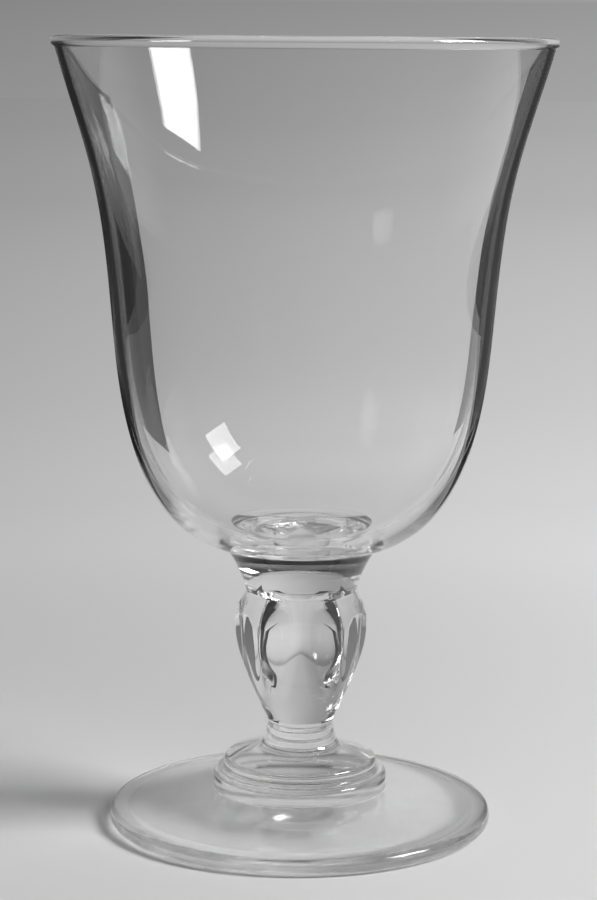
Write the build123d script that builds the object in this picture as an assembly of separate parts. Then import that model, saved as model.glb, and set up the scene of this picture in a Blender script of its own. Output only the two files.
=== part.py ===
from build123d import *
import math
import os

# Footed water goblet of clear glass: a blown bowl, a pressed stem and a pressed foot, joined hot.
# Millimetres. +Z runs up the axis of the glass, and the origin is the middle of the foot's bearing ring.
# The front of the glass, with one stem panel square to it, faces -Y.

# Foot: a low dome with a rounded edge that stands on a flat ring.
foot_radius = 40.5
foot_edge_height = 3.4
foot_edge_round = 1.5
foot_shoulder_inset = 4.1
foot_shoulder_rise = 0.4
foot_shoulder_round = 6.0
foot_dome_rise = 3.6
foot_seat_margin = 0.6
bearing_ring_inset = 4.0
foot_hollow_height = 2.2

# Foot collar: two round tiers, then a sloping shoulder that flares up into the waist of the stem.
lower_tier_radius = 18.4
lower_tier_height = 3.7
lower_tier_round = 1.2
upper_tier_radius = 16.2
upper_tier_height = 2.7
upper_tier_round = 1.3
tier_corner_round = 0.7
collar_slope_radius = 8.2
collar_slope_rise = 2.4
collar_flare_rise = 4.2
collar_flare_round = 3.0

# Stem: a narrow waist, a cone that swells in two stretches, a belly, a crown, a shoulder and a neck.
waist_radius = 6.9
waist_length = 1.6
waist_round = 3.0
swell_radius = 10.65
swell_rise = 7.3
swell_round = 30.0
belly_radius = 14.8
belly_rise = 8.65
belly_round = 14.0
crown_radius = 14.5
crown_rise = 7.25
crown_round = 8.0
shoulder_rise = 4.5
neck_radius = 12.1
neck_length = 1.6
neck_round = 2.0

# Panels round the stem, flat across, which bow in from the crown to an end just above the waist.
panel_count = 5
panel_depth = 2.3
panel_straight_length = 1.0
panel_end_rise = 3.0

# Bowl collar: a flare that leans out from the neck of the stem up to the seat of the bowl.
bowl_collar_height = 7.8
bowl_collar_slope = 74.0
bowl_seat_radius = 16.0

# Bowl: outside radii from the seat up to the lip. The body and the flare split the rise from the flank
# to the lip into even steps, so the bowl takes up any change of the height of the whole glass.
goblet_height = 165.0
heel_radius = 25.2
heel_rise = 4.6
flank_radius = 35.1
flank_rise = 16.3
body_radius = 39.6
flare_radius = 43.1
lip_radius = 51.0
seat_slope = 12.0
lip_slope = 74.0

# Wall of the bowl, square to the outside, and the round bead that finishes the lip.
floor_thickness = 3.1
seat_wall = 3.3
heel_wall = 3.1
flank_wall = 2.1
body_wall = 1.7
flare_wall = 1.45
lip_wall = 1.4
lip_bead_proud = 0.5

# Heights of the flat faces where one piece is joined to the next.
foot_top = foot_edge_height + foot_shoulder_rise + foot_dome_rise
collar_top = foot_top + lower_tier_height + upper_tier_height + collar_slope_rise + collar_flare_rise
stem_height = waist_length + swell_rise + belly_rise + crown_rise + shoulder_rise + neck_length
stem_top = collar_top + stem_height
bowl_seat = stem_top + bowl_collar_height


def at(radius, height):
    """Point of an outline, at a radius from the axis and a height above the table."""
    return Vector(radius, 0, height)


def climbing(slope):
    """Direction that leads outwards and climbs at a slope in degrees."""
    angle = math.radians(slope)
    return at(math.cos(angle), math.sin(angle))


def up_from(start, *stretches):
    """Points that climb from a start by stretches of (new radius, rise)."""
    points = [start]
    for radius, rise in stretches:
        points.append(at(radius, points[-1].Z + rise))
    return points


def rounded_line(corners, rounds):
    """Line through corners, each inner one rounded as far as its two runs leave room."""
    most_of_run = 0.48
    radii = []
    for before, corner, after, wanted in zip(corners, corners[1:], corners[2:], rounds):
        run_in = corner - before
        run_out = after - corner
        half_turn = math.radians(run_in.get_angle(run_out)) / 2
        room = most_of_run * min(run_in.length, run_out.length) / math.tan(half_turn)
        radii.append(min(wanted, room))
    return FilletPolyline(*corners, radius=radii)


def turned(*lines):
    """Solid turned about the axis from lines that close an outline."""
    edges = [edge for line in lines for edge in line.edges()]
    return revolve(make_face(edges), axis=Axis.Z)


def turned_to_axis(side):
    """Solid piece turned from its side line, with a flat round face at its foot and at its top."""
    low, high = side @ 0, side @ 1
    ends = Polyline(high, at(0, high.Z), at(0, low.Z), low)
    return turned(side, ends)


def make_foot():
    """Round foot with a flat seat in the middle of its dome and a hollow under it."""
    bearing_inner_radius = foot_radius - bearing_ring_inset
    corners = up_from(
        at(bearing_inner_radius, 0),
        (foot_radius, 0),
        (foot_radius, foot_edge_height),
        (foot_radius - foot_shoulder_inset, foot_shoulder_rise),
        (lower_tier_radius + foot_seat_margin, foot_dome_rise),
    )
    side = rounded_line(corners, (foot_edge_round, foot_edge_round, foot_shoulder_round))
    hollow_top = at(0, foot_hollow_height)
    hollow = TangentArc(hollow_top, side @ 0, tangent=(1, 0, 0))
    seat = Polyline(side @ 1, at(0, foot_top), hollow_top)
    return turned(side, seat, hollow)


def make_foot_collar():
    """Two stepped tiers with a flared neck, which carries the stem."""
    corners = up_from(
        at(lower_tier_radius, foot_top),
        (lower_tier_radius, lower_tier_height),
        (upper_tier_radius, 0),
        (upper_tier_radius, upper_tier_height),
        (collar_slope_radius, collar_slope_rise),
        (waist_radius, collar_flare_rise),
    )
    rounds = (lower_tier_round, tier_corner_round, upper_tier_round, collar_flare_round)
    return turned_to_axis(rounded_line(corners, rounds))


def make_panel_waste(waist_corner, swell_corner, crown_corner):
    """Glass that is missing in front of one panel, for a panel that faces +X."""
    panel_radius = belly_radius - panel_depth
    outside_radius = belly_radius + panel_depth
    panel_top = at(panel_radius, stem_top)
    panel_bend = at(panel_radius, crown_corner.Z - panel_straight_length)
    panel_end = waist_corner + (swell_corner - waist_corner) * (panel_end_rise / swell_rise)
    straight = Line(panel_top, panel_bend)
    curve = TangentArc(panel_bend, panel_end, tangent=(0, 0, -1))
    back = Polyline(panel_end, at(outside_radius, panel_end.Z), at(outside_radius, stem_top), panel_top)
    section = make_face([straight.edge(), curve.edge(), *back.edges()])
    return extrude(section, amount=belly_radius, both=True)


def make_stem_knop():
    """Pear-shaped stem, widest near its top, with flat panels whose ends are arched."""
    corners = up_from(
        at(waist_radius, collar_top),
        (waist_radius, waist_length),
        (swell_radius, swell_rise),
        (belly_radius, belly_rise),
        (crown_radius, crown_rise),
        (neck_radius, shoulder_rise),
        (neck_radius, neck_length),
    )
    rounds = (waist_round, swell_round, belly_round, crown_round, neck_round)
    body = turned_to_axis(rounded_line(corners, rounds))

    waist_corner, swell_corner, crown_corner = corners[1], corners[2], corners[4]
    waste = make_panel_waste(waist_corner, swell_corner, crown_corner)
    front = -90
    for index in range(panel_count):
        body -= Rotation(0, 0, front + index * 360 / panel_count) * waste
    return body


def make_bowl_collar():
    """Flare from the neck of the stem to the seat of the bowl."""
    neck, seat = at(neck_radius, stem_top), at(bowl_seat_radius, bowl_seat)
    return turned_to_axis(TangentArc(neck, seat, tangent=climbing(bowl_collar_slope)))


def make_bowl():
    """Bell-shaped bowl with a thick floor and a rounded lip."""
    half_wall = lip_wall / 2
    bead_radius = half_wall + lip_bead_proud
    bead_depth = math.sqrt(bead_radius**2 - half_wall**2)
    lip_climb = climbing(lip_slope)
    lip_height = goblet_height - bead_radius - lip_climb.Z * bead_depth - lip_climb.X * half_wall

    upper_step = (lip_height - bowl_seat - heel_rise - flank_rise) / 3
    stations = up_from(
        at(bowl_seat_radius, bowl_seat),
        (heel_radius, heel_rise),
        (flank_radius, flank_rise),
        (body_radius, upper_step),
        (flare_radius, upper_step),
        (lip_radius, upper_step),
    )
    walls = (seat_wall, heel_wall, flank_wall, body_wall, flare_wall, lip_wall)
    outside = Spline(*stations, tangents=(climbing(seat_slope), lip_climb))

    floor = at(0, bowl_seat + floor_thickness)
    inner_stations = [floor]
    for station, wall in zip(stations, walls):
        climb = outside.tangent_at(station)
        inward = at(-climb.Z, climb.X)
        inner_stations.append(station + inward * wall)
    inside = Spline(*inner_stations, tangents=(climbing(0), lip_climb))

    lip_crown = (outside @ 1 + inside @ 1) / 2 + lip_climb * (bead_depth + bead_radius)
    lip = ThreePointArc(outside @ 1, lip_crown, inside @ 1)
    underside = Polyline(floor, at(0, bowl_seat), outside @ 0)
    return turned(outside, lip, inside, underside)


pieces = {
    "foot": make_foot(),
    "foot_collar": make_foot_collar(),
    "stem_knop": make_stem_knop(),
    "bowl_collar": make_bowl_collar(),
    "bowl": make_bowl(),
}

os.makedirs("parts", exist_ok=True)
for name, piece in pieces.items():
    export_step(piece, f"parts/{name}.step")
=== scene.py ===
"""Looks of a footed water goblet of clear glass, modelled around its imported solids.

Metres, in the frame of the solids: +Z runs up the axis of the glass from the plane that its foot stands on,
and the front of the glass, with one stem panel square to it, faces -Y.
"""

import logging
import math
from collections.abc import Sequence
from dataclasses import dataclass, field
from enum import Enum

import bpy
import numpy as np
from mathutils import Matrix, Vector


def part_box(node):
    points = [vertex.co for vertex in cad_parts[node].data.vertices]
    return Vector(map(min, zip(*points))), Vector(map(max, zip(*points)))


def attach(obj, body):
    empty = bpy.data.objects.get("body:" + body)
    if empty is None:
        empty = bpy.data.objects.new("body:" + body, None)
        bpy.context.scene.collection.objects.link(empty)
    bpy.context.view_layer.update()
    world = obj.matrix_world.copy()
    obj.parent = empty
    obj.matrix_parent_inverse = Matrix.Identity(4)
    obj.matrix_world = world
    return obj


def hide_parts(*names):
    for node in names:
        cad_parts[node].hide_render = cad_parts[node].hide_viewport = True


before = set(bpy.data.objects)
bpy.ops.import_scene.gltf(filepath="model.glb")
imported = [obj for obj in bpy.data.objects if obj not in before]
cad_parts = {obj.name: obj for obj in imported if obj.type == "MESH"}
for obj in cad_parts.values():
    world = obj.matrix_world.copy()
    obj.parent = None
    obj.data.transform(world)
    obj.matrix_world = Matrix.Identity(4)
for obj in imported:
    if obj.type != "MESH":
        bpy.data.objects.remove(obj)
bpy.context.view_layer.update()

BODY = "root"
MM = 0.001

# Points this close are welded, a height this near a joint is at it, and a normal this steep is upright.
WELD = 0.001 * MM
NEAR = 0.02 * MM
UPRIGHT = 0.999

LOG = logging.getLogger("goblet")

Point = tuple[float, float]
Outline = list[Point]


class Making(Enum):
    """How a piece of the glass got its skin."""

    BLOWN = "blown"
    PRESSED_STEM = "pressed_stem"
    PRESSED_FOOT = "pressed_foot"


def to_linear(code: str) -> tuple[float, float, float, float]:
    """Turn an sRGB hex colour into linear values.

    Args:
        code: Colour such as "#F8FAFA".

    Returns:
        Red, green, blue and an alpha of 1.
    """
    values = [int(code[i : i + 2], 16) / 255 for i in (1, 3, 5)]
    linear = [v / 12.92 if v <= 0.04045 else ((v + 0.055) / 1.055) ** 2.4 for v in values]
    return (*linear, 1.0)


def add_node(
    tree: bpy.types.NodeTree,
    kind: str,
    inputs: dict[str | int, object] | None = None,
    **settings: object,
) -> bpy.types.Node:
    """Add a node to a tree, with its settings, values and links.

    Args:
        tree: Node tree that gets the node.
        kind: Blender's name for the kind of node.
        inputs: Value for each input by name or number, or the output socket that is linked to it.
        settings: Options of the node itself.

    Returns:
        The new node.
    """
    node = tree.nodes.new(kind)
    for name, value in settings.items():
        setattr(node, name, value)
    for name, value in (inputs or {}).items():
        if isinstance(value, bpy.types.NodeSocket):
            tree.links.new(value, node.inputs[name])
        else:
            node.inputs[name].default_value = value
    return node


def new_material(name: str) -> tuple[bpy.types.Material, bpy.types.NodeTree]:
    """Make a material with an empty node tree.

    Args:
        name: Name of the material.

    Returns:
        The material and its tree.
    """
    material = bpy.data.materials.new(name)
    material.use_nodes = True
    material.node_tree.nodes.clear()
    return material, material.node_tree


@dataclass(frozen=True)
class ClearGlass:
    """Clear soda-lime glass with the skin that its making left.

    The eye sees a bright, colourless glass. Its skin is not quite true: faint waves from the making bend the
    edges of what it mirrors and of what shows through it, and a trace of haze softens the brightest glints.
    """

    making: Making
    wave_length: float
    wave_height: float
    # Share of a lamp's light that one skin lets through, as a grey.
    shade: str
    tint: str = "#FBFBFB"
    ior: float = 1.52
    clear_roughness: float = 0.004
    hazy_roughness: float = 0.03
    haze_size: float = 9 * MM
    haze_start: float = 0.5
    haze_full: float = 0.8

    def passed_light(
        self, tree: bpy.types.NodeTree, place: bpy.types.NodeSocket
    ) -> tuple[float, float, float, float] | bpy.types.NodeSocket:
        """Give how much of a lamp's light goes on through one skin of the glass.

        Args:
            tree: Node tree of the material; not used here.
            place: Place on the piece; not used here.

        Returns:
            A colour, or the socket that gives it.
        """
        return to_linear(self.shade)

    def material(self) -> bpy.types.Material:
        """Make the glass material.

        Returns:
            The material.
        """
        material, tree = new_material(f"{self.making.value}_soda_lime_glass")
        place = add_node(tree, "ShaderNodeTexCoord").outputs["Object"]
        waves = add_node(
            tree,
            "ShaderNodeTexNoise",
            {"Vector": place, "Scale": 1 / self.wave_length, "Detail": 1.0, "Roughness": 0.35},
        )
        bump = add_node(
            tree,
            "ShaderNodeBump",
            {"Strength": 1.0, "Distance": self.wave_height, "Height": waves.outputs["Fac"]},
        )
        cloud = add_node(
            tree,
            "ShaderNodeTexNoise",
            {"Vector": place, "Scale": 1 / self.haze_size, "Detail": 3.0},
        )
        haze = add_node(
            tree,
            "ShaderNodeMapRange",
            {
                "Value": cloud.outputs["Fac"],
                "From Min": self.haze_start,
                "From Max": self.haze_full,
                "To Min": self.clear_roughness,
                "To Max": self.hazy_roughness,
            },
        )
        shader = add_node(
            tree,
            "ShaderNodeBsdfPrincipled",
            {
                "Base Color": to_linear(self.tint),
                "Metallic": 0.0,
                "IOR": self.ior,
                "Transmission Weight": 1.0,
                "Roughness": haze.outputs["Result"],
                "Normal": bump.outputs["Normal"],
            },
        )
        # Rays from lamps go on through the glass, dimmed by the shade, so that the paper under it is lit.
        lamp_ray = add_node(tree, "ShaderNodeLightPath").outputs["Is Shadow Ray"]
        way_on = add_node(tree, "ShaderNodeBsdfTransparent", {"Color": self.passed_light(tree, place)})
        mix = add_node(
            tree, "ShaderNodeMixShader", {0: lamp_ray, 1: shader.outputs["BSDF"], 2: way_on.outputs["BSDF"]}
        )
        add_node(tree, "ShaderNodeOutputMaterial", {"Surface": mix.outputs["Shader"]})
        return material


@dataclass(frozen=True)
class RimmedGlass(ClearGlass):
    """Clear glass with a thick rounded rim, which bends away more of a lamp's light than the rest does.

    The eye sees a dark crescent on the paper where the light comes through the rim.
    """

    rim_shade: str = "#202020"
    rim_start: float = 35.5 * MM
    rim_end: float = 37.5 * MM

    def passed_light(self, tree: bpy.types.NodeTree, place: bpy.types.NodeSocket) -> bpy.types.NodeSocket:
        """Give how much of a lamp's light goes on through one skin, less at the rim.

        Args:
            tree: Node tree of the material.
            place: Place on the piece.

        Returns:
            The socket that gives it.
        """
        distance = add_node(tree, "ShaderNodeVectorMath", {0: place}, operation="LENGTH").outputs["Value"]
        passed = add_node(
            tree,
            "ShaderNodeMapRange",
            {
                "Value": distance,
                "From Min": self.rim_start,
                "From Max": self.rim_end,
                "To Min": to_linear(self.shade)[0],
                "To Max": to_linear(self.rim_shade)[0],
            },
            interpolation_type="SMOOTHSTEP",
        )
        return passed.outputs["Result"]


@dataclass(frozen=True)
class FusedJoint:
    """Face inside the glass where two pieces were joined hot.

    The eye sees nothing of it: light goes straight on.
    """

    def material(self) -> bpy.types.Material:
        """Make the clear material of the joint.

        Returns:
            The material.
        """
        material, tree = new_material("fused_glass_joint")
        shader = add_node(tree, "ShaderNodeBsdfTransparent", {"Color": (1.0, 1.0, 1.0, 1.0)})
        add_node(tree, "ShaderNodeOutputMaterial", {"Surface": shader.outputs["BSDF"]})
        return material


def rounded_line(corners: Sequence[Point], rounds: Sequence[float], pitch: float = 0.25 * MM) -> Outline:
    """Draw a line through corners and round each inner one as far as its two runs leave room.

    Args:
        corners: Corners as (radius, height).
        rounds: Radius for each inner corner.
        pitch: Longest step along an arc.

    Returns:
        Points of the line.
    """
    most_of_run, fewest_steps = 0.48, 6
    points = [corners[0]]
    for before, corner, after, wanted in zip(corners, corners[1:], corners[2:], rounds):
        here = Vector(corner)
        run_in, run_out = here - Vector(before), Vector(after) - here
        half_turn = run_in.angle(run_out) / 2
        room = most_of_run * min(run_in.length, run_out.length) / math.tan(half_turn)
        radius = min(wanted, room)
        back = radius * math.tan(half_turn)
        start, end = here - run_in.normalized() * back, here + run_out.normalized() * back
        inward = (run_out.normalized() - run_in.normalized()).normalized()
        centre = here + inward * (radius / math.cos(half_turn))
        steps = max(fewest_steps, math.ceil(2 * half_turn * radius / pitch))
        first, last = start - centre, end - centre
        turn = first.angle_signed(last)
        for step in range(steps + 1):
            spoke = Matrix.Rotation(-turn * step / steps, 2) @ first
            points.append(tuple(centre + spoke))
    points.append(corners[-1])
    return points


def smooth_line(
    stations: Sequence[Point], first_slope: float, last_slope: float, pitch: float
) -> tuple[np.ndarray, np.ndarray]:
    """Draw a smooth curve through stations, with set directions at its ends.

    Args:
        stations: Points as (radius, height) that the curve goes through.
        first_slope: Climb at the first station in degrees.
        last_slope: Climb at the last station in degrees.
        pitch: Longest step along the curve.

    Returns:
        Points of the curve, and its direction at each station.
    """
    knots = np.array(stations)
    chords = np.linalg.norm(np.diff(knots, axis=0), axis=1)
    count = len(knots)
    system, wanted = np.zeros((count, count)), np.zeros((count, 2))
    system[0, 0] = system[-1, -1] = 1.0
    for row, slope in ((0, first_slope), (-1, last_slope)):
        wanted[row] = math.cos(math.radians(slope)), math.sin(math.radians(slope))
    for i in range(1, count - 1):
        low, high = chords[i - 1], chords[i]
        system[i, i - 1 : i + 2] = high, 2 * (low + high), low
        rise_low, rise_high = (knots[i] - knots[i - 1]) / low, (knots[i + 1] - knots[i]) / high
        wanted[i] = 3 * (high * rise_low + low * rise_high)
    slopes = np.linalg.solve(system, wanted)
    points = [knots[:1]]
    for i, chord in enumerate(chords):
        steps = math.ceil(chord / pitch)
        # Cubic between two stations, from their places and their directions.
        t = np.linspace(0, 1, steps + 1)[1:, None]
        points.append(
            (2 * t**3 - 3 * t**2 + 1) * knots[i]
            + (t**3 - 2 * t**2 + t) * chord * slopes[i]
            + (3 * t**2 - 2 * t**3) * knots[i + 1]
            + (t**3 - t**2) * chord * slopes[i + 1]
        )
    return np.vstack(points), slopes / np.linalg.norm(slopes, axis=1)[:, None]


def up_from(start: Point, *stretches: Point) -> Outline:
    """List corners that climb from a start.

    Args:
        start: First corner as (radius, height).
        stretches: New radius and rise of each further corner.

    Returns:
        The corners.
    """
    corners = [start]
    for radius, rise in stretches:
        corners.append((radius, corners[-1][1] + rise))
    return corners


@dataclass
class TurnedPiece:
    """Piece of the glass that is round about the axis, and stands for one CAD node."""

    node: str
    glass: bpy.types.Material
    joint: bpy.types.Material
    segments: int = 240
    sharp_turn: float = 40.0
    base: float = field(init=False)
    top: float = field(init=False)

    def __post_init__(self) -> None:
        """Take the heights of the piece's foot and top from its node."""
        lowest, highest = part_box(self.node)
        self.base, self.top = lowest.z, highest.z

    def outline(self) -> Outline:
        """Give the half section, from the axis round the outside and back to the axis."""
        raise NotImplementedError

    def joint_faces(self) -> list[Point]:
        """Give radius and height of each flat round face that is fused to the next piece."""
        raise NotImplementedError

    def shape(self, piece: bpy.types.Object) -> None:
        """Work the turned body further. Most pieces need nothing more."""

    def build(self) -> bpy.types.Object:
        """Turn the half section about the axis.

        Returns:
            The closed piece, with its place in its mesh.
        """
        points = self.outline()
        bpy.ops.object.select_all(action="DESELECT")
        bpy.ops.mesh.primitive_plane_add(size=MM, enter_editmode=True, location=(0, 0, 0))
        piece = bpy.context.active_object
        piece.name = piece.data.name = f"{self.node}_glass"
        bpy.ops.mesh.merge(type="CENTER")
        bpy.ops.transform.translate(value=(points[0][0], 0, points[0][1]))
        for (radius, height), (next_radius, next_height) in zip(points, points[1:]):
            step = (next_radius - radius, 0, next_height - height)
            bpy.ops.mesh.extrude_region_move(TRANSFORM_OT_translate={"value": step})
        bpy.ops.mesh.select_all(action="SELECT")
        bpy.ops.mesh.spin(steps=self.segments, angle=math.tau, center=(0, 0, 0), axis=(0, 0, 1))
        bpy.ops.mesh.select_all(action="SELECT")
        bpy.ops.mesh.remove_doubles(threshold=WELD)
        bpy.ops.mesh.normals_make_consistent(inside=False)
        bpy.ops.object.mode_set(mode="OBJECT")
        self.shape(piece)
        bpy.ops.object.shade_smooth_by_angle(angle=math.radians(self.sharp_turn))
        return piece

    def dress(self, piece: bpy.types.Object) -> None:
        """Give the piece its glass, clear its joints, hang it on the body and hide the CAD node that it
        stands for.

        Args:
            piece: The built piece.
        """
        piece.data.materials.append(self.glass)
        piece.data.materials.append(self.joint)
        joints = self.joint_faces()
        for face in piece.data.polygons:
            middle = face.center
            for radius, height in joints:
                level = abs(middle.z - height) < NEAR and abs(face.normal.z) > UPRIGHT
                if level and math.hypot(middle.x, middle.y) < radius:
                    face.material_index = 1
        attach(piece, BODY)
        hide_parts(self.node)


@dataclass
class Foot(TurnedPiece):
    """Low domed foot with a rounded edge, a flat bearing ring and a hollow under it."""

    radius: float = 40.5 * MM
    edge_height: float = 3.4 * MM
    edge_round: float = 1.5 * MM
    shoulder_inset: float = 4.1 * MM
    shoulder_rise: float = 0.4 * MM
    shoulder_round: float = 6.0 * MM
    seat_radius: float = 18.4 * MM
    seat_margin: float = 0.6 * MM
    bearing_inset: float = 4.0 * MM
    hollow_height: float = 2.2 * MM
    hollow_points: int = 40

    def outline(self) -> Outline:
        """Draw the half section of the foot.

        Returns:
            Points from the axis, out under the foot and back over it.
        """
        bearing_inner = self.radius - self.bearing_inset
        dome_rise = self.top - self.edge_height - self.shoulder_rise
        corners = up_from(
            (bearing_inner, self.base),
            (self.radius, 0.0),
            (self.radius, self.edge_height),
            (self.radius - self.shoulder_inset, self.shoulder_rise),
            (self.seat_radius + self.seat_margin, dome_rise),
        )
        side = rounded_line(corners, (self.edge_round, self.edge_round, self.shoulder_round))
        arc_radius = (bearing_inner**2 + self.hollow_height**2) / (2 * self.hollow_height)
        hollow = []
        for share in np.linspace(0, 1, self.hollow_points)[:-1]:
            radius = bearing_inner * share
            drop = arc_radius - math.sqrt(arc_radius**2 - radius**2)
            hollow.append((radius, self.base + self.hollow_height - drop))
        return hollow + side + [(self.seat_radius, self.top), (0.0, self.top)]

    def joint_faces(self) -> list[Point]:
        """Give the seat of the foot collar."""
        return [(self.seat_radius, self.top)]


@dataclass
class FootCollar(TurnedPiece):
    """Two round tiers, then a sloping shoulder that flares up into the waist of the stem."""

    lower_radius: float = 18.4 * MM
    lower_height: float = 3.7 * MM
    lower_round: float = 1.2 * MM
    upper_radius: float = 16.2 * MM
    upper_height: float = 2.7 * MM
    upper_round: float = 1.3 * MM
    corner_round: float = 0.7 * MM
    slope_radius: float = 8.2 * MM
    slope_rise: float = 2.4 * MM
    flare_round: float = 3.0 * MM
    waist_radius: float = 6.9 * MM

    def outline(self) -> Outline:
        """Draw the half section of the collar.

        Returns:
            Points from the axis, up the side and back to the axis.
        """
        flare_rise = self.top - self.base - self.lower_height - self.upper_height - self.slope_rise
        corners = up_from(
            (self.lower_radius, self.base),
            (self.lower_radius, self.lower_height),
            (self.upper_radius, 0.0),
            (self.upper_radius, self.upper_height),
            (self.slope_radius, self.slope_rise),
            (self.waist_radius, flare_rise),
        )
        rounds = (self.lower_round, self.corner_round, self.upper_round, self.flare_round)
        return [(0.0, self.base), *rounded_line(corners, rounds), (0.0, self.top)]

    def joint_faces(self) -> list[Point]:
        """Give the joints with the foot and the stem."""
        return [(self.lower_radius, self.base), (self.waist_radius, self.top)]


@dataclass
class StemKnop(TurnedPiece):
    """Pear-shaped stem, widest near its top, with flat panels between rounded ribs."""

    waist_radius: float = 6.9 * MM
    waist_length: float = 1.6 * MM
    waist_round: float = 3.0 * MM
    swell_radius: float = 10.65 * MM
    swell_rise: float = 7.3 * MM
    swell_round: float = 30.0 * MM
    belly_radius: float = 14.8 * MM
    belly_rise: float = 8.65 * MM
    belly_round: float = 14.0 * MM
    crown_radius: float = 14.5 * MM
    crown_rise: float = 7.25 * MM
    crown_round: float = 8.0 * MM
    shoulder_rise: float = 4.5 * MM
    neck_radius: float = 12.1 * MM
    neck_round: float = 2.0 * MM
    panels: int = 5
    panel_depth: float = 2.3 * MM
    panel_straight: float = 1.0 * MM
    panel_end_rise: float = 3.0 * MM
    rib_round: float = 0.9 * MM
    rib_end_round: float = 4.0 * MM
    rib_end_start: float = 1.5 * MM
    rib_end_reach: float = 3.0 * MM
    plain_waist: float = 0.5 * MM
    plain_neck: float = 0.1 * MM
    ring_pitch: float = 0.25 * MM

    def corners(self) -> Outline:
        """List the corners of the stem's side before they are rounded.

        Returns:
            Corners from the waist up to the neck.
        """
        rises = (self.waist_length, self.swell_rise, self.belly_rise, self.crown_rise, self.shoulder_rise)
        neck_length = self.top - self.base - sum(rises)
        return up_from(
            (self.waist_radius, self.base),
            (self.waist_radius, self.waist_length),
            (self.swell_radius, self.swell_rise),
            (self.belly_radius, self.belly_rise),
            (self.crown_radius, self.crown_rise),
            (self.neck_radius, self.shoulder_rise),
            (self.neck_radius, neck_length),
        )

    def outline(self) -> Outline:
        """Draw the half section of the stem, with rings close enough to carry the panels.

        Returns:
            Points from the axis, up the side and back to the axis.
        """
        rounds = (self.waist_round, self.swell_round, self.belly_round, self.crown_round, self.neck_round)
        side = np.array(rounded_line(self.corners(), rounds))
        count = round((self.top - self.base) / self.ring_pitch)
        heights = np.linspace(self.base, self.top, count + 1)
        radii = np.interp(heights, side[:, 1], side[:, 0])
        rings = list(zip(radii.tolist(), heights.tolist()))
        return [(0.0, self.base), *rings, (0.0, self.top)]

    def joint_faces(self) -> list[Point]:
        """Give the joints with the two collars."""
        return [(self.waist_radius, self.base), (self.neck_radius, self.top)]

    def panel_distance(self, heights: np.ndarray) -> np.ndarray:
        """Give the distance of a panel from the axis.

        Args:
            heights: Heights on the stem.

        Returns:
            The distance at each height: even at the belly, then curving in to the panel's end at the waist.
        """
        waist, swell, crown = (self.corners()[i] for i in (1, 2, 4))
        straight = self.belly_radius - self.panel_depth
        share = self.panel_end_rise / self.swell_rise
        end_radius = waist[0] + (swell[0] - waist[0]) * share
        end_height = waist[1] + self.panel_end_rise
        bend = crown[1] - self.panel_straight
        across, down = straight - end_radius, bend - end_height
        arc_radius = (across**2 + down**2) / (2 * across)
        below = np.clip(bend - heights, 0, arc_radius)
        curve = straight - (arc_radius - np.sqrt(arc_radius**2 - below**2))
        # Above and below the panel the distance grows past the stem, so that nothing is pressed there.
        clear_of_neck = np.clip(heights - (crown[1] + self.shoulder_rise), 0, None)
        clear_of_waist = np.clip(end_height - heights, 0, None)
        steepness = 2
        return curve + clear_of_neck + steepness * clear_of_waist

    def shape(self, piece: bpy.types.Object) -> None:
        """Press the panels into the turned stem and leave rounded ribs between them.

        Args:
            piece: The turned stem.
        """
        places = np.empty(len(piece.data.vertices) * 3)
        piece.data.vertices.foreach_get("co", places)
        places = places.reshape(-1, 3)
        radii = np.hypot(places[:, 0], places[:, 1])
        spacing = math.tau / self.panels
        from_front = np.arctan2(places[:, 0], -places[:, 1])
        off_centre = (from_front + spacing / 2) % spacing - spacing / 2
        panel = self.panel_distance(places[:, 2]) / np.cos(off_centre)
        crown = self.corners()[4][1]
        spread = (crown - self.rib_end_start, crown + self.rib_end_reach)
        blend = np.interp(places[:, 2], spread, (self.rib_round, self.rib_end_round))
        # Where a panel meets the turned skin, the edge is taken off over the width of the blend.
        near = np.clip(1 - np.abs(radii - panel) / blend, 0, 1)
        pressed = np.minimum(radii, panel) - near**2 * blend / 4
        at_waist = places[:, 2] < self.base + self.plain_waist
        at_neck = places[:, 2] > self.top - self.plain_neck
        pressed = np.where(at_waist | at_neck, radii, pressed)
        scale = np.divide(pressed, radii, out=np.ones_like(radii), where=radii > NEAR)
        places[:, :2] *= scale[:, None]
        piece.data.vertices.foreach_set("co", places.ravel())
        piece.data.update()


@dataclass
class BowlCollar(TurnedPiece):
    """Flare from the neck of the stem up to the seat of the bowl."""

    neck_radius: float = 12.1 * MM
    seat_radius: float = 16.0 * MM
    slope: float = 74.0
    side_points: int = 28

    def outline(self) -> Outline:
        """Draw the half section: an arc that leaves the neck at its slope and bends out to the seat.

        Returns:
            Points from the axis, up the side and back to the axis.
        """
        neck, seat = Vector((self.neck_radius, self.base)), Vector((self.seat_radius, self.top))
        slope = math.radians(self.slope)
        chord = seat - neck
        half_turn = slope - math.atan2(chord.y, chord.x)
        arc_radius = chord.length / (2 * math.sin(half_turn))
        centre = neck + Vector((math.sin(slope), -math.cos(slope))) * arc_radius
        side = []
        for share in np.linspace(0, 1, self.side_points):
            side.append(tuple(centre + Matrix.Rotation(-2 * half_turn * share, 2) @ (neck - centre)))
        return [(0.0, self.base), *side, (0.0, self.top)]

    def joint_faces(self) -> list[Point]:
        """Give the joints with the stem and the bowl."""
        return [(self.neck_radius, self.base), (self.seat_radius, self.top)]


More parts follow.
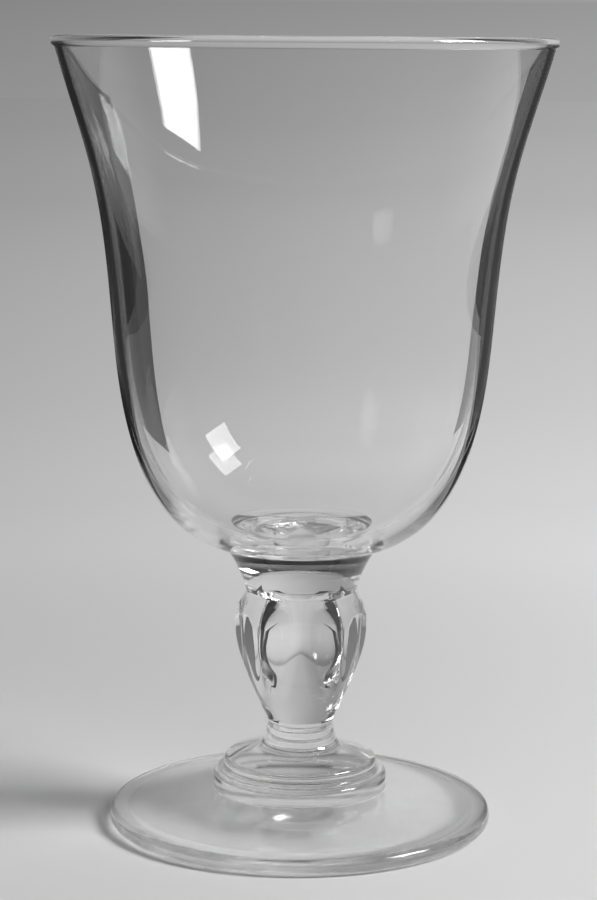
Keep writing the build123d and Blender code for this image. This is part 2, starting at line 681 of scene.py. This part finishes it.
@dataclass
class Bowl(TurnedPiece):
    """Bell-shaped bowl with a thick floor, a thin wall and a rounded lip."""

    segments: int = 256
    sharp_turn: float = 30.0
    seat_radius: float = 16.0 * MM
    heel_radius: float = 25.2 * MM
    heel_rise: float = 4.6 * MM
    flank_radius: float = 35.1 * MM
    flank_rise: float = 16.3 * MM
    body_radius: float = 39.6 * MM
    flare_radius: float = 43.1 * MM
    lip_radius: float = 51.0 * MM
    seat_slope: float = 12.0
    lip_slope: float = 74.0
    floor_thickness: float = 3.1 * MM
    seat_wall: float = 3.3 * MM
    heel_wall: float = 3.1 * MM
    flank_wall: float = 2.1 * MM
    body_wall: float = 1.7 * MM
    flare_wall: float = 1.45 * MM
    lip_wall: float = 1.4 * MM
    bead_proud: float = 0.5 * MM
    pitch: float = 1.2 * MM
    bead_points: int = 25

    def outline(self) -> Outline:
        """Draw the half section: up the outside, over the bead of the lip and down the inside.

        Returns:
            Points from the axis round the wall and back to the axis.
        """
        half_wall = self.lip_wall / 2
        bead_radius = half_wall + self.bead_proud
        bead_depth = math.sqrt(bead_radius**2 - half_wall**2)
        slope = math.radians(self.lip_slope)
        lip_height = self.top - bead_radius - math.sin(slope) * bead_depth - math.cos(slope) * half_wall
        step = (lip_height - self.base - self.heel_rise - self.flank_rise) / 3
        stations = up_from(
            (self.seat_radius, self.base),
            (self.heel_radius, self.heel_rise),
            (self.flank_radius, self.flank_rise),
            (self.body_radius, step),
            (self.flare_radius, step),
            (self.lip_radius, step),
        )
        outside, climbs = smooth_line(stations, self.seat_slope, self.lip_slope, self.pitch)
        lower_walls = (self.seat_wall, self.heel_wall, self.flank_wall)
        upper_walls = (self.body_wall, self.flare_wall, self.lip_wall)
        inner = [(0.0, self.base + self.floor_thickness)]
        for (radius, height), (out, up), wall in zip(stations, climbs, lower_walls + upper_walls):
            inner.append((radius - up * wall, height + out * wall))
        inside, _ = smooth_line(inner, 0.0, self.lip_slope, self.pitch)

        ends = (outside[-1], inside[-1])
        centre = Vector((ends[0] + ends[1]) / 2) + Vector((math.cos(slope), math.sin(slope))) * bead_depth
        first = Vector(ends[0]) - centre
        turn = math.tau - first.angle(Vector(ends[1]) - centre)
        bead = []
        for share in np.linspace(0, 1, self.bead_points)[1:-1]:
            bead.append(tuple(centre + Matrix.Rotation(turn * share, 2) @ first))
        rows = [*outside.tolist(), *bead, *inside[::-1].tolist()]
        return [(0.0, self.base), *rows]

    def joint_faces(self) -> list[Point]:
        """Give the seat on the bowl collar."""
        return [(self.seat_radius, self.base)]


@dataclass(frozen=True)
class PaperFloor:
    """Matt white paper under the glass. Far off it fades into a glow in the tone of the background, with the
    soft box's light painted in.

    The eye sees a pale, even sheet that keeps the soft shadow of the glass and has no far edge.
    """

    paper: str = "#E2E2E2"
    fade_start: float = 0.04
    fade_end: float = 0.42
    side_softening: float = 0.6
    reach: float = 6.0
    sides: int = 96
    mottle_size: float = 2.5 * MM
    fibre_height: float = 0.05 * MM
    fibre_strength: float = 0.05

    def material(self, backdrop: "Backdrop") -> bpy.types.Material:
        """Make the paper material.

        Args:
            backdrop: Tones of the background.

        Returns:
            The material.
        """
        material, tree = new_material("matt_white_paper")
        place = add_node(tree, "ShaderNodeTexCoord").outputs["Object"]
        distance = add_node(tree, "ShaderNodeVectorMath", {0: place}, operation="LENGTH").outputs["Value"]
        fibre = add_node(
            tree, "ShaderNodeTexNoise", {"Vector": place, "Scale": 1 / self.mottle_size, "Detail": 3.0}
        )
        bump = add_node(
            tree,
            "ShaderNodeBump",
            {
                "Strength": self.fibre_strength,
                "Distance": self.fibre_height,
                "Height": fibre.outputs["Fac"],
            },
        )
        paper = add_node(
            tree,
            "ShaderNodeBsdfDiffuse",
            {"Color": to_linear(self.paper), "Normal": bump.outputs["Normal"]},
        )
        away = add_node(tree, "ShaderNodeMath", {0: distance, 1: self.side_softening}, operation="ADD")
        scale = add_node(tree, "ShaderNodeMath", {0: 1.0, 1: away.outputs["Value"]}, operation="DIVIDE")
        side = add_node(
            tree, "ShaderNodeVectorMath", {0: place, "Scale": scale.outputs["Value"]}, operation="SCALE"
        ).outputs["Vector"]
        # Far off, the paper glows with painted light instead of being lit.
        glow = backdrop.far_floor(tree, distance, side)
        fade = add_node(
            tree,
            "ShaderNodeMapRange",
            {"Value": distance, "From Min": self.fade_start, "From Max": self.fade_end},
            interpolation_type="SMOOTHSTEP",
        )
        seen = backdrop.seen_by_eye(tree)
        share = add_node(
            tree, "ShaderNodeMath", {0: fade.outputs["Result"], 1: seen}, operation="MULTIPLY"
        )
        mix = add_node(
            tree,
            "ShaderNodeMixShader",
            {0: share.outputs["Value"], 1: paper.outputs["BSDF"], 2: glow},
        )
        add_node(tree, "ShaderNodeOutputMaterial", {"Surface": mix.outputs["Shader"]})
        return material


@dataclass(frozen=True)
class Backdrop:
    """Soft grey background, painted with light and shade: paler near the glass and to the right, where the
    soft box lights it, and darker far off and overhead.
    """

    floor_tones: tuple[tuple[float, float], ...] = (
        (0.0, 0.72),
        (0.28, 0.66),
        (0.37, 0.58),
        (0.48, 0.55),
        (0.62, 0.515),
        (0.80, 0.49),
        (1.06, 0.465),
        (2.0, 0.39),
        (4.0, 0.345),
        (6.0, 0.331),
    )
    sky_tones: tuple[tuple[float, float], ...] = (
        (-0.05, 0.36),
        (0.0, 0.30),
        (0.0143, 0.275),
        (0.0175, 0.40),
        (0.024, 0.43),
        (0.50, 0.43),
        (0.70, 0.38),
        (0.85, 0.22),
        (0.95, 0.06),
    )
    # Painted light: how much paler the right side of the far floor and of the sky is than the left.
    floor_side: float = 0.46
    sky_side: float = 0.37
    side_reach: float = 0.5
    front_share: float = 0.12
    front_reach: float = 0.5
    ambient: float = 0.11

    def ramp(
        self,
        tree: bpy.types.NodeTree,
        value: bpy.types.NodeSocket,
        tones: tuple[tuple[float, float], ...],
    ) -> bpy.types.NodeSocket:
        """Look a tone up by a value.

        Args:
            tree: Node tree that gets the nodes.
            value: Value to look up.
            tones: Pairs of value and tone, in order.

        Returns:
            The tone.
        """
        low, high = tones[0][0], tones[-1][0]
        share = add_node(tree, "ShaderNodeMapRange", {"Value": value, "From Min": low, "From Max": high})
        ramp = add_node(tree, "ShaderNodeValToRGB", {"Fac": share.outputs["Result"]})
        stops = ramp.color_ramp.elements
        while len(stops) < len(tones):
            stops.new(0.5)
        for stop, (at, tone) in zip(stops, tones):
            stop.position = (at - low) / (high - low)
            stop.color = (tone, tone, tone, 1.0)
        return ramp.outputs["Color"]

    def painted_side_light(
        self, tree: bpy.types.NodeTree, direction: bpy.types.NodeSocket, share: float
    ) -> bpy.types.NodeSocket:
        """Paint light on the right side, where the soft box is, and shade on the left.

        Args:
            tree: Node tree that gets the nodes.
            direction: Way from the glass, no longer than 1.
            share: How much paler or darker a side gets.

        Returns:
            Factor on the tone.
        """
        across = add_node(tree, "ShaderNodeSeparateXYZ", {"Vector": direction}).outputs["X"]
        factor = add_node(
            tree,
            "ShaderNodeMapRange",
            {
                "Value": across,
                "From Min": -self.side_reach,
                "From Max": self.side_reach,
                "To Min": 1 - share,
                "To Max": 1 + share,
            },
            interpolation_type="SMOOTHSTEP",
        )
        return factor.outputs["Result"]

    def seen_by_eye(self, tree: bpy.types.NodeTree) -> bpy.types.NodeSocket:
        """Tell rays of the eye from rays that only carry light.

        Args:
            tree: Node tree that gets the nodes.

        Returns:
            1 for a ray of the eye, straight, mirrored or through glass, and 0 for the rest.
        """
        path = add_node(tree, "ShaderNodeLightPath").outputs
        seen = path["Is Camera Ray"]
        for other in ("Is Glossy Ray", "Is Transmission Ray"):
            either = add_node(tree, "ShaderNodeMath", {0: seen, 1: path[other]}, operation="MAXIMUM")
            seen = either.outputs["Value"]
        return seen

    def far_floor(
        self,
        tree: bpy.types.NodeTree,
        distance: bpy.types.NodeSocket,
        direction: bpy.types.NodeSocket,
    ) -> bpy.types.NodeSocket:
        """Make the tone of the floor far from the glass, with painted light: paler nearer the glass and to
        the right, where the soft box lights it.

        Args:
            tree: Node tree that gets the nodes.
            distance: Distance from the glass.
            direction: Way from the glass, no longer than 1.

        Returns:
            The emission shader.
        """
        tone = self.ramp(tree, distance, self.floor_tones)
        factor = self.painted_side_light(tree, direction, self.floor_side)
        glow = add_node(tree, "ShaderNodeEmission", {"Color": tone, "Strength": factor})
        return glow.outputs["Emission"]

    def build(self) -> None:
        """Set the world: the background for the eye, and plain even light for the rest."""
        world = bpy.data.worlds.new("studio")
        bpy.context.scene.world = world
        world.use_nodes = True
        tree = world.node_tree
        tree.nodes.clear()
        direction = add_node(tree, "ShaderNodeTexCoord").outputs["Generated"]
        height = add_node(tree, "ShaderNodeSeparateXYZ", {"Vector": direction}).outputs["Z"]
        tone = self.ramp(tree, height, self.sky_tones)
        factor = self.painted_side_light(tree, direction, self.sky_side)
        behind = add_node(tree, "ShaderNodeSeparateXYZ", {"Vector": direction}).outputs["Y"]
        depth = add_node(
            tree,
            "ShaderNodeMapRange",
            {
                "Value": behind,
                "From Min": 0.0,
                "From Max": self.front_reach,
                "To Min": self.front_share,
            },
            interpolation_type="SMOOTHSTEP",
        )
        strength = add_node(
            tree, "ShaderNodeMath", {0: factor, 1: depth.outputs["Result"]}, operation="MULTIPLY"
        )
        sky = add_node(
            tree, "ShaderNodeBackground", {"Color": tone, "Strength": strength.outputs["Value"]}
        )
        light = add_node(
            tree, "ShaderNodeBackground", {"Color": (1.0, 1.0, 1.0, 1.0), "Strength": self.ambient}
        )
        mix = add_node(
            tree,
            "ShaderNodeMixShader",
            {0: self.seen_by_eye(tree), 1: light.outputs["Background"], 2: sky.outputs["Background"]},
        )
        add_node(tree, "ShaderNodeOutputWorld", {"Surface": mix.outputs["Shader"]})


@dataclass(frozen=True)
class DarkCard:
    """Dark card beside the glass, which only the glass sees.

    The edges of the glass get their dark lines from it.
    """

    name: str
    corners: tuple[tuple[float, float, float], ...]
    tone: float

    def build(self) -> None:
        """Set the card up, dark on its face and clear from behind."""
        bpy.ops.object.select_all(action="DESELECT")
        bpy.ops.mesh.primitive_circle_add(vertices=len(self.corners), fill_type="NGON", location=(0, 0, 0))
        card = bpy.context.active_object
        card.name = card.data.name = self.name
        for vertex, corner in zip(card.data.vertices, self.corners):
            vertex.co = corner
        material, tree = new_material(self.name)
        dark = add_node(tree, "ShaderNodeEmission", {"Color": (self.tone, self.tone, self.tone, 1.0)})
        clear = add_node(tree, "ShaderNodeBsdfTransparent", {"Color": (1.0, 1.0, 1.0, 1.0)})
        behind = add_node(tree, "ShaderNodeNewGeometry").outputs["Backfacing"]
        mix = add_node(
            tree, "ShaderNodeMixShader", {0: behind, 1: dark.outputs["Emission"], 2: clear.outputs["BSDF"]}
        )
        add_node(tree, "ShaderNodeOutputMaterial", {"Surface": mix.outputs["Shader"]})
        card.data.materials.append(material)
        card.visible_camera = card.visible_diffuse = card.visible_shadow = False


def level_card(name: str, tone: float, *corners: Point, height: float = 35 * MM) -> DarkCard:
    """Lay a card level at about half the height of the stem, where only the bowl looks down on it.

    Args:
        name: Name of the card.
        tone: How pale it is.
        corners: Its corners in plan, anticlockwise.
        height: Height above the floor.

    Returns:
        The card.
    """
    return DarkCard(name, tuple((x, y, height) for x, y in corners), tone)


def upright_card(name: str, tone: float, right: Point, left: Point, height: float = 0.16) -> DarkCard:
    """Stand a card on the floor, with its face to the glass.

    Args:
        name: Name of the card.
        tone: How pale it is.
        right: Its right end in plan, as seen from the glass.
        left: Its left end in plan.
        height: Height of the card.

    Returns:
        The card.
    """
    corners = ((*right, 0.0), (*right, height), (*left, height), (*left, 0.0))
    return DarkCard(name, corners, tone)


@dataclass
class Studio:
    """Pale floor, soft light and dark cards round the glass."""

    backdrop: Backdrop
    paper: PaperFloor
    key_place: tuple[float, float, float] = (0.72, -0.15, 0.60)
    key_aim: tuple[float, float, float] = (0.0, 0.0, 0.09)
    key_size: tuple[float, float] = (0.33, 0.26)
    key_power: float = 9.2
    bounces: int = 32
    cards: tuple[DarkCard, ...] = (
        level_card("left_edge", 0.045, (-0.43, 3.0), (-0.57, 3.0), (-0.059, 0.16), (-0.052, 0.152)),
        level_card("left_back", 0.02, (-0.57, 3.0), (-3.0, 3.0), (-0.275, 0.30), (-0.059, 0.16)),
        level_card("left_side", 0.03, (-3.0, 3.0), (-3.0, -0.9), (-0.55, -0.15), (-0.275, 0.30)),
        level_card("right_edge", 0.06, (0.77, 3.0), (0.617, 3.0), (0.071, 0.178), (0.080, 0.184)),
        level_card("right_back", 0.04, (3.0, 3.0), (0.77, 3.0), (0.080, 0.184), (0.306, 0.355)),
        level_card("right_side", 0.06, (3.0, 0.05), (3.0, 3.0), (0.306, 0.355), (0.62, 0.05)),
        upright_card("left_low_wing", 0.03, (-0.075, 0.135), (-0.45, 0.40), height=0.09),
        upright_card("left_wing", 0.03, (-0.45, 0.40), (-0.55, 0.05)),
        upright_card("right_low_wing", 0.05, (0.45, 0.40), (0.075, 0.135), height=0.09),
        upright_card("right_wing", 0.06, (0.62, 0.05), (0.45, 0.40)),
    )

    def build_floor(self) -> None:
        """Lay the floor."""
        bpy.ops.object.select_all(action="DESELECT")
        bpy.ops.mesh.primitive_circle_add(
            vertices=self.paper.sides, radius=self.paper.reach, fill_type="NGON", location=(0, 0, 0)
        )
        floor = bpy.context.active_object
        floor.name = floor.data.name = "paper_floor"
        floor.data.materials.append(self.paper.material(self.backdrop))

    def build_key(self) -> None:
        """Hang the soft box that lights the glass from the right."""
        lamp = bpy.data.lights.new("key_soft_box", "AREA")
        lamp.shape = "RECTANGLE"
        lamp.size, lamp.size_y = self.key_size
        lamp.energy = self.key_power
        key = bpy.data.objects.new("key_soft_box", lamp)
        bpy.context.scene.collection.objects.link(key)
        way = Vector(self.key_aim) - Vector(self.key_place)
        key.location = self.key_place
        key.rotation_euler = way.to_track_quat("-Z", "Y").to_euler()
        key.visible_camera = False

    def build(self) -> None:
        """Set up the floor, the background, the light and the cards."""
        self.backdrop.build()
        self.build_floor()
        self.build_key()
        for card in self.cards:
            card.build()
        cycles = bpy.context.scene.cycles
        # Light runs round inside the heel of the bowl many times before it comes out.
        cycles.max_bounces = cycles.transmission_bounces = self.bounces
        cycles.glossy_bounces = cycles.transparent_max_bounces = self.bounces
        bpy.context.scene.view_settings.view_transform = "Standard"


@dataclass(frozen=True)
class Viewpoint:
    """Camera at the viewing angle of the photograph."""

    place: tuple[float, float, float] = (0.0, -0.5165, 0.1653)
    look_down: float = 9.43
    look_left: float = 0.085
    tilt: float = 0.41
    focus_pixels: float = 2503.0
    image_height: int = 900
    sensor: float = 36.0
    nearest: float = 0.01
    farthest: float = 100.0

    def build(self) -> None:
        """Set up the camera."""
        data = bpy.data.cameras.new("viewpoint")
        data.sensor_width = self.sensor
        data.lens = self.sensor * self.focus_pixels / self.image_height
        data.clip_start, data.clip_end = self.nearest, self.farthest
        camera = bpy.data.objects.new("viewpoint", data)
        turn = (
            Matrix.Rotation(math.radians(self.look_left), 3, "Z")
            @ Matrix.Rotation(math.radians(90 - self.look_down), 3, "X")
            @ Matrix.Rotation(math.radians(self.tilt), 3, "Z")
        )
        camera.rotation_euler = turn.to_euler()
        camera.location = self.place
        bpy.context.scene.collection.objects.link(camera)
        bpy.context.scene.camera = camera


def main() -> None:
    """Build the glass, its studio and the camera."""
    logging.basicConfig(level=logging.INFO, format="%(name)s: %(message)s")
    Viewpoint().build()
    # A blown skin has long waves, and a pressing mould leaves shorter and lower ones.
    blown = ClearGlass(Making.BLOWN, 16 * MM, 0.02 * MM, shade="#DADADA").material()
    stem = ClearGlass(Making.PRESSED_STEM, 7 * MM, 0.01 * MM, shade="#505050").material()
    foot = RimmedGlass(
        Making.PRESSED_FOOT,
        9 * MM,
        0.01 * MM,
        shade="#C8C8C8",
        clear_roughness=0.08,
        hazy_roughness=0.12,
    ).material()
    joint = FusedJoint().material()
    for part in (
        Bowl("bowl", blown, joint),
        BowlCollar("bowl_collar", stem, joint),
        StemKnop("stem_knop", stem, joint),
        FootCollar("foot_collar", stem, joint),
        Foot("foot", foot, joint),
    ):
        piece = part.build()
        part.dress(piece)
        LOG.info("%s stands for %s with %d faces", piece.name, part.node, len(piece.data.polygons))
    Studio(Backdrop(), PaperFloor()).build()


if __name__ == "__main__":
    main()
